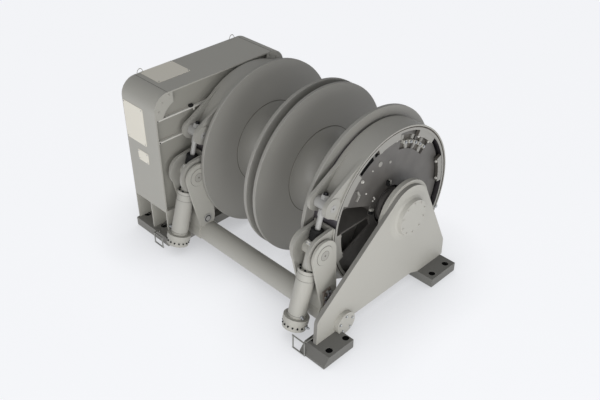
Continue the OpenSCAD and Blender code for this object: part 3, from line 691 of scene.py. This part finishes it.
for name, side in SIDES.items():
    # The black strips are painted shade for the gap between rim and web.
    slots = [spun_strip((WEB_FACE - SLOT_BACK, WEB_FACE + SLOT_PROUD), (inner, SLOT_OUTER_R),
                        (start + gap * 360 / LUGS, stop + gap * 360 / LUGS), side, 8)
             for gap in SLOT_GAPS for inner, start, stop in SLOTS]
    as_one(slots, "rim_slots_" + name, shade_black, "drum_" + name)
    pads = [round_bar(size, PAD_T, round_axis(WEB_FACE + PAD_OUT, radius, angle, side))
            for size, radius, angle in PADS]
    as_one(pads, "web_pads_" + name, drum_grey, "drum_" + name)
    small = [(round_axis(WEB_FACE, radius, angle, side), (side, 0, 0), size)
             for radius, angle, size in WEB_BOLTS]
    bolts(hexagon, "web_bolts_" + name, small, pale_paint_and_rib_highlight, "drum_" + name)
    brackets = [block(size, round_axis(WEB_FACE + BRACKET_OUT, radius, angle + half, side), 3, (lean, 0, 0))
                for size, radius, angle, lean in BRACKET_ARMS for half in (0, 180)]
    as_one(brackets, "web_brackets_" + name, drum_grey, "drum_" + name)
print("dressed both webs")

# %% [markdown]
# ## Brake rims: clamps behind the small window
# Behind the small window of the web runs a curved strip that carries a row of
# clamp blocks, each with a bolt. Brackets that lean this way and that fill
# the space around them. The photograph shows all this in a few pixels only, so
# bevelled blocks at several angles are enough.

# %% Clamp strip, brackets and clamps
STRIP_BACK, STRIP_FRONT, STRIP_RADII, STRIP_ANGLES = 34, 20, (560, 706), (33, 88)
LEANING_SIZE, LEANING_IN = (18, 60, 40), 12
LEANING_BRACKETS = ((588, 46, 10), (594, 58, -14), (586, 70, 20), (682, 50, 5), (684, 64, -8), (680, 78, 12))
CLAMPS, CLAMP_R, CLAMP_START, CLAMP_STEP = 5, 632, 45, 7.5
CLAMP_SIZE, CLAMP_IN, CLAMP_BOLT, CLAMP_BOLT_OUT = (40, 34, 52), 2, 24, 18

for name, side in SIDES.items():
    strip = spun_strip((WEB_FACE - STRIP_BACK, WEB_FACE - STRIP_FRONT), STRIP_RADII, STRIP_ANGLES, side)
    fit_on(strip, "clamp_strip_" + name, lug_grey, "drum_" + name)
    brackets = [block(LEANING_SIZE, round_axis(WEB_FACE - LEANING_IN, radius, angle, side), 5,
                      leaning(angle + lean)) for radius, angle, lean in LEANING_BRACKETS]
    as_one(brackets, "rim_brackets_" + name, drum_grey, "drum_" + name)
    clamps, screws = [], []
    for i in range(CLAMPS):
        angle = CLAMP_START + CLAMP_STEP * i
        clamp_at = round_axis(WEB_FACE - CLAMP_IN, CLAMP_R, angle, side)
        clamps.append(block(CLAMP_SIZE, clamp_at, 4, leaning(angle)))
        screw_at = round_axis(WEB_FACE + CLAMP_BOLT_OUT, CLAMP_R, angle, side)
        screws.append((screw_at, (side, 0, 0), CLAMP_BOLT))
    as_one(clamps, "rim_clamps_" + name, warm_grey, "drum_" + name)
    bolts(hexagon, "rim_clamp_bolts_" + name, screws, zinc_bolt, "drum_" + name)
print("set", CLAMPS, "clamps in each rim")

# %% [markdown]
# ## Bearing side
# Ten small screws hold the cover of the shaft bearing and five pale ones the
# cap of the cross tube. Both circles are copies of the one hexagon bolt, on
# the outer face of the part that they hold.

# %% Screws of the bearing cover and the tube cap
COVER_SCREWS, COVER_START, COVER_R, COVER_SCREW = 10, 18, 157, 15
TUBE_BOLTS, TUBE_START, TUBE_R, TUBE_BOLT = 5, 90, 82, 22

boss_face = to_along(high("bearing_boss").x)
cover_spots = [(round_axis(boss_face, COVER_R, COVER_START + i * 360 / COVER_SCREWS), ALONG, COVER_SCREW)
               for i in range(COVER_SCREWS)]
bolts(hexagon, "bearing_cover_bolts", cover_spots, warm_grey, "frame")

cap_face = to_along(high("tube_cap").x)
cap_rear = to_rear(middle("tube_cap").y)
cap_up = middle("tube_cap").z / MM
cap_spots = []
for i in range(TUBE_BOLTS):
    turn = math.radians(TUBE_START + i * 360 / TUBE_BOLTS)
    at = place(cap_face, cap_rear + TUBE_R * math.cos(turn), cap_up + TUBE_R * math.sin(turn))
    cap_spots.append((at, ALONG, TUBE_BOLT))
bolts(hexagon, "tube_cap_bolts", cap_spots, zinc_bolt, "frame")
print("bolted the bearing cover and the tube cap")

# %% [markdown]
# ## Band brakes: along the tie rod
# Each cylinder hangs on the lower pin and pulls the upper lugs down by its tie
# rod. What is on the cylinder or the rod is placed by its distance up the line
# from the lower pin to the upper one, which leans a little to the rear.

# %% Places along the tie rod
LOWER_PIN, UPPER_PIN, ANCHOR_PIN = (-931, 871), (-805, 1283), (-866, 341)
BAND_MID = to_along(middle("band_lower_right").x)
tie = Vector((UPPER_PIN[0] - LOWER_PIN[0], UPPER_PIN[1] - LOWER_PIN[1]))
TIE_LENGTH = tie.length
tie.normalize()
TIE_TURN = (-math.atan2(tie.x, tie.y), 0, 0)
TIE_AXIS = (0, tie.x, tie.y)

def on_tie(side, up_tie, across=0, rear=0):
    return place(side * (BAND_MID + across), LOWER_PIN[0] + tie.x * up_tie + tie.y * rear,
                 LOWER_PIN[1] + tie.y * up_tie - tie.x * rear)

print("tie rod line is", round(TIE_LENGTH, 1), "mm long")

# %% [markdown]
# ## Band brakes: cylinder
# Eight black socket screws lie in a ring on the cylinder's top flange, and
# sixteen stand round the side of its end cap. Three turned grooves mark where
# its sections meet. A thin dark ring, painted shade for the groove, reads as a
# groove from any side, and it leaves the barrel uncut.

# %% Screws and grooves of the cylinder
TOP_RING_DOWN, TOP_RING_R, TOP_RING_SCREWS, TOP_SCREW = 200, 74, 8, 20
CAP_DOWN, CAP_SIDE_R, CAP_SIDE_SCREWS, CAP_SIDE_START, CAP_SCREW = 765, 112, 16, 11, 17
GROOVES_DOWN, GROOVE_R, GROOVE_BAR = (300, 235, 660), 87.4, 3.2

def round_tie(side, angle):
    turn = math.radians(angle)
    return Vector((side * math.cos(turn), tie.y * math.sin(turn), -tie.x * math.sin(turn)))

for name, side in SIDES.items():
    screws = []
    for i in range(TOP_RING_SCREWS):
        turn = math.radians((i + 0.5) * 360 / TOP_RING_SCREWS)
        at = on_tie(side, -TOP_RING_DOWN, TOP_RING_R * math.cos(turn), TOP_RING_R * math.sin(turn))
        screws.append((at, TIE_AXIS, TOP_SCREW))
    bolts(socket, "cylinder_screws_" + name, screws, black_bolt, "cylinder_" + name)

    grooves = [ring(GROOVE_R, GROOVE_BAR, on_tie(side, -down), TIE_TURN) for down in GROOVES_DOWN]
    as_one(grooves, "cylinder_grooves_" + name, shade_line_grey, "cylinder_" + name)

    cap_screws = []
    for i in range(CAP_SIDE_SCREWS):
        way = round_tie(1, CAP_SIDE_START + i * 360 / CAP_SIDE_SCREWS)
        cap_screws.append((on_tie(side, -CAP_DOWN) + way * CAP_SIDE_R * MM, tuple(way), CAP_SCREW))
    bolts(socket, "cap_screws_" + name, cap_screws, black_bolt, "cylinder_" + name)
print("screwed both cylinders")

# %% [markdown]
# ## Band brakes: hydraulic fittings
# Oil enters by two fittings that point outwards, one on the barrel and one on
# the cap. Such turned parts are short cylinders on one line, so each is made of
# three bars stacked outwards: a collar, a hexagon and a short pipe end.
# A light port block with two screws faces the front, just above the lower pin.

# %% Hydraulic ports and port block
PORTS = ((655, -20, 87), (762, 15, 112))
FITTING = ((6, 17, 16, 24), (20, 13, 18, 6), (32, 9, 14, 24))
PORT_BLOCK_SIZE, PORT_BLOCK_UP, PORT_BLOCK_FRONT = (54, 34, 36), 66, -62
PORT_SCREW, PORT_SCREW_FRONT, PORT_SCREW_ACROSS = 12, -79, 17

for name, side in SIDES.items():
    ports = []
    for down, angle, reach in PORTS:
        way = round_tie(side, angle)
        for out, radius, length, sides in FITTING:
            at = on_tie(side, -down) + way * (reach + out) * MM
            ports.append(round_bar(radius, length, at, way, sides))
    as_one(ports, "hydraulic_ports_" + name, zinc_bolt, "cylinder_" + name)

    port_block = block(PORT_BLOCK_SIZE, on_tie(side, PORT_BLOCK_UP, 0, PORT_BLOCK_FRONT), 4, TIE_TURN)
    fit_on(port_block, "port_block_" + name, pale_paint_and_rib_highlight, "cylinder_" + name)
    port_screws = [(on_tie(side, PORT_BLOCK_UP, across, PORT_SCREW_FRONT), (0, -tie.y, tie.x), PORT_SCREW)
                   for across in (-PORT_SCREW_ACROSS, PORT_SCREW_ACROSS)]
    bolts(socket, "port_block_screws_" + name, port_screws, zinc_bolt, "cylinder_" + name)
print("fitted", len(PORTS), "ports to each cylinder")

# %% [markdown]
# ## Band brakes: boot and tie nut
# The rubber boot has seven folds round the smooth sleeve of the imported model. A
# ring for each fold is lighter than modelled bellows and looks the same from
# outside. The nut of the cross barrel is locked by a dark bolt, and a centre
# mark shows at each end of the barrel.

# %% Boot folds, nut bolt and trunnion marks
FOLDS, FOLD_R, FOLD_BAR, FOLD_FIRST, FOLD_STEP = 7, 54, 10, 92, 15
NUT_BOLT, NUT_BOLT_UP, TRUNNION_END = 40, 86, 115
MARK_R, MARK_T = 9, 4

for name, side in SIDES.items():
    folds = [ring(FOLD_R, FOLD_BAR, on_tie(side, FOLD_FIRST + i * FOLD_STEP), TIE_TURN, 48)
             for i in range(FOLDS)]
    as_one(folds, "boot_folds_" + name, rubber_and_shade_black, "cylinder_" + name)
    nut_spot = [(on_tie(side, TIE_LENGTH + NUT_BOLT_UP), TIE_AXIS, NUT_BOLT)]
    bolts(hexagon, "tie_nut_bolt_" + name, nut_spot, black_bolt, "tie_rod_" + name)
    marks = [round_bar(MARK_R, MARK_T, on_tie(side, TIE_LENGTH, across))
             for across in (-TRUNNION_END, TRUNNION_END)]
    as_one(marks, "trunnion_marks_" + name, shade_line_grey, "tie_rod_" + name)
print("folded both boots")

# %% [markdown]
# ## Band brakes: pins in the links
# The main pin shows a centre mark at each end, and two thin dark rings on each
# side, painted shade at the steps, draw the round bosses of the links about it.
# The inner end of the anchor pin has a washer, a rubber seal and a stepped end,
# three short bars one on another.

# %% Pin marks, anchor pin ends and link shade rings
LINKS_HALF = 150
LINK_OUT, LINK_IN = BAND_MID + LINKS_HALF, BAND_MID - LINKS_HALF
ANCHOR_STEPS = (("anchor_washer_", 48, 6, 2, rod_grey), ("anchor_seal_", 37, 8, 3, rubber_and_shade_black),
                ("anchor_end_", 27, 14, 5, rod_grey))
LINK_SHADE_RINGS = ((95, 5, 1.2, (LINK_OUT - 5, LINK_IN + 5)), (48, 4, 1, (LINK_OUT - 1, LINK_IN + 1)))

for name, side in SIDES.items():
    marks = [round_bar(MARK_R, MARK_T, place(side * along, *LOWER_PIN))
             for along in (LINK_OUT + 1, LINK_IN - 1)]
    as_one(marks, "pin_marks_" + name, shade_line_grey, "frame")
    for title, radius, length, inwards, finish in ANCHOR_STEPS:
        step = round_bar(radius, length, place(side * (LINK_IN - inwards), *ANCHOR_PIN))
        fit_on(step, title + name, finish, "frame")
    edges = [flat_ring(radius, width, proud, place(side * along, *LOWER_PIN))
             for radius, width, proud, alongs in LINK_SHADE_RINGS for along in alongs]
    as_one(edges, "link_disc_seams_" + name, shade_line_grey, "frame")
print("links reach from", round(LINK_IN), "to", round(LINK_OUT), "mm")

# %% [markdown]
# ## Band brakes: keeper plate and hinge
# A phosphated plate on the outer link keeps the anchor pin in place, with three
# lumps and five bolts whose places were judged. At the rear, one
# nut on each side closes the hinge of the two band halves.

# %% Keeper plates and hinge nuts
KEEPER_SIZE, KEEPER_OUT, KEEPER_REAR, KEEPER_UP, KEEPER_LEAN = (18, 96, 190), 7, -898, 385, 8
KEEPER_LUG_SIZE, KEEPER_LUG_OUT, KEEPER_BOLT, KEEPER_BOLT_OUT = (26, 34, 46), 20, 28, 16
KEEPER_LUGS = ((-925, 350, 12), (-895, 420, -10), (-905, 310, 20))
KEEPER_BOLTS = ((-875, 330), (-930, 400), (-910, 458), (-870, 440), (-935, 300))
HINGE_R, HINGE_ANGLE, HINGE_NUT, HINGE_NUT_OUT = 850.4, -27, 40, 84

for name, side in SIDES.items():
    keeper_at = place(side * (LINK_OUT + KEEPER_OUT), KEEPER_REAR, KEEPER_UP)
    keeper = block(KEEPER_SIZE, keeper_at, 4, leaning(KEEPER_LEAN))
    fit_on(keeper, "keeper_plate_" + name, keeper_brown, "frame")
    lugs = [block(KEEPER_LUG_SIZE, place(side * (LINK_OUT + KEEPER_LUG_OUT), rear, up), 5, leaning(lean))
            for rear, up, lean in KEEPER_LUGS]
    as_one(lugs, "keeper_lugs_" + name, rim_steel, "frame")
    spots = [(place(side * (LINK_OUT + KEEPER_BOLT_OUT), rear, up), (side, 0, 0), KEEPER_BOLT)
             for rear, up in KEEPER_BOLTS]
    bolts(hexagon, "keeper_bolts_" + name, spots, zinc_bolt, "frame")
    nuts = [(round_axis(BAND_MID + end * HINGE_NUT_OUT, HINGE_R, HINGE_ANGLE, side),
             (side * end, 0, 0), HINGE_NUT) for end in (-1, 1)]
    bolts(hexagon, "hinge_nuts_" + name, nuts, zinc_bolt, "frame")

for master in (hexagon, socket):
    bpy.data.objects.remove(master)
print("dressed both brakes")

# %% [markdown]
# ## Studio: background
# The winch stands in a pale, nearly white studio. The camera sees the full
# background, while the winch is lit by a much weaker glow, so that its paint
# keeps its shadows. A Light Path node tells the two apart.

# %% Background
STUDIO_COLOUR, SEEN_GLOW, CAST_GLOW = "#F3F5F9", 1.0, 0.3

world = bpy.data.worlds.new("studio")
bpy.context.scene.world = world
world.use_nodes = True
tree = world.node_tree
for node in list(tree.nodes):
    tree.nodes.remove(node)
seen = add(tree, "ShaderNodeBackground", {"Color": srgb(STUDIO_COLOUR), "Strength": SEEN_GLOW})
cast = add(tree, "ShaderNodeBackground", {"Color": srgb(STUDIO_COLOUR), "Strength": CAST_GLOW})
path = add(tree, "ShaderNodeLightPath")
pick = add(tree, "ShaderNodeMixShader", (),
           {0: path.outputs["Is Camera Ray"], 1: cast.outputs[0], 2: seen.outputs[0]})
add(tree, "ShaderNodeOutputWorld", (), {"Surface": pick.outputs[0]})
print("lit the background")

# %% [markdown]
# ## Studio: floor
# The floor melts into the background but keeps the winch's soft shadow. It
# mostly glows by itself, and glows less near the winch, where an Ambient
# Occlusion node finds that the open sky is hidden. A small share of plain
# paper takes the true shadows of the lamps.

# %% Floor
FLOOR_SIZE, SHADOW_REACH, SHADOW_DEPTH = 60, 0.8, 0.52
GLOW_SHARE, SEEN_EXTRA = 0.82, 0.08

bpy.ops.mesh.primitive_plane_add(size=FLOOR_SIZE, location=(0, 0, 0))
floor = bpy.context.object
floor.name = "studio_floor"
ground, tree, shader = new_material("studio_floor_paper", Roughness=0.9)
shader.inputs["Base Color"].default_value = srgb("#E9EBEE")
white = add(tree, "ShaderNodeEmission", {"Color": srgb("#FBFCFF")})
near = add(tree, "ShaderNodeAmbientOcclusion", {"samples": 16, "Distance": SHADOW_REACH})
shade = add(tree, "ShaderNodeMath", {"operation": "MULTIPLY_ADD", 1: SHADOW_DEPTH, 2: 1 - SHADOW_DEPTH},
            {0: near.outputs["AO"]})
tree.links.new(shade.outputs[0], white.inputs["Strength"])
path = add(tree, "ShaderNodeLightPath")
share = add(tree, "ShaderNodeMath", {"operation": "MULTIPLY_ADD", 1: SEEN_EXTRA, 2: GLOW_SHARE},
            {0: path.outputs["Is Camera Ray"]})
both = add(tree, "ShaderNodeMixShader", (), {0: share.outputs[0], 1: shader.outputs[0], 2: white.outputs[0]})
tree.links.new(both.outputs[0], tree.nodes["Material Output"].inputs["Surface"])
floor.data.materials.append(ground)
print("laid the floor")

# %% [markdown]
# ## Studio: lamps
# The photograph has soft shadows, so the lamps are large: one low in front,
# which lights the fronts of the housing and the cylinders, the strongest from
# the right, a wide one overhead and one behind the camera.

# %% Softboxes
SOFTBOXES = (
    ("front_softbox", (3.0, -7.0, 1.0), (-0.3, 0, 0.7), (4, 2), 120),
    ("right_softbox", (7.5, -1.6, 1.9), (0, 0, 0.8), (5, 3), 180),
    ("roof_softbox", (-1.0, 0.5, 7.0), (-0.5, 0, 0), (5, 5), 50),
    ("camera_softbox", (5.2, -5.6, 4.6), (0, 0, 0.6), (4, 4), 100),
)
for name, at, aim, size, watts in SOFTBOXES:
    data = bpy.data.lights.new(name, "AREA")
    data.shape = "RECTANGLE"
    data.size, data.size_y = size
    data.energy = watts
    lamp = bpy.data.objects.new(name, data)
    bpy.context.scene.collection.objects.link(lamp)
    lamp.location = at
    lamp.rotation_euler = (Vector(aim) - Vector(at)).to_track_quat("-Z", "Y").to_euler()
print("hung", len(SOFTBOXES), "softboxes")

# %% [markdown]
# ## Studio: camera
# The camera stands where the photographer's stood. Its place, its two angles
# and its focal length were solved from corners of the winch in the
# photograph, which is 600 pixels wide.

# %% Camera
PHOTO_WIDTH_PX, FOCAL_PX, SENSOR_MM = 600, 771.5, 36
CAMERA_AT, LOOKS_DOWN, TURNED_RIGHT = (4.6182, -4.5207, 5.0650), 34.944, 45.226

camera_data = bpy.data.cameras.new("photo_camera")
camera_data.sensor_width = SENSOR_MM
camera_data.lens = FOCAL_PX / PHOTO_WIDTH_PX * SENSOR_MM
camera_data.clip_end = 200
camera = bpy.data.objects.new("photo_camera", camera_data)
bpy.context.scene.collection.objects.link(camera)
camera.location = CAMERA_AT
camera.rotation_euler = (math.radians(90 - LOOKS_DOWN), 0, math.radians(TURNED_RIGHT))
bpy.context.scene.camera = camera
bpy.context.scene.view_settings.view_transform = "Standard"
print("lens of", round(camera_data.lens, 1), "mm")
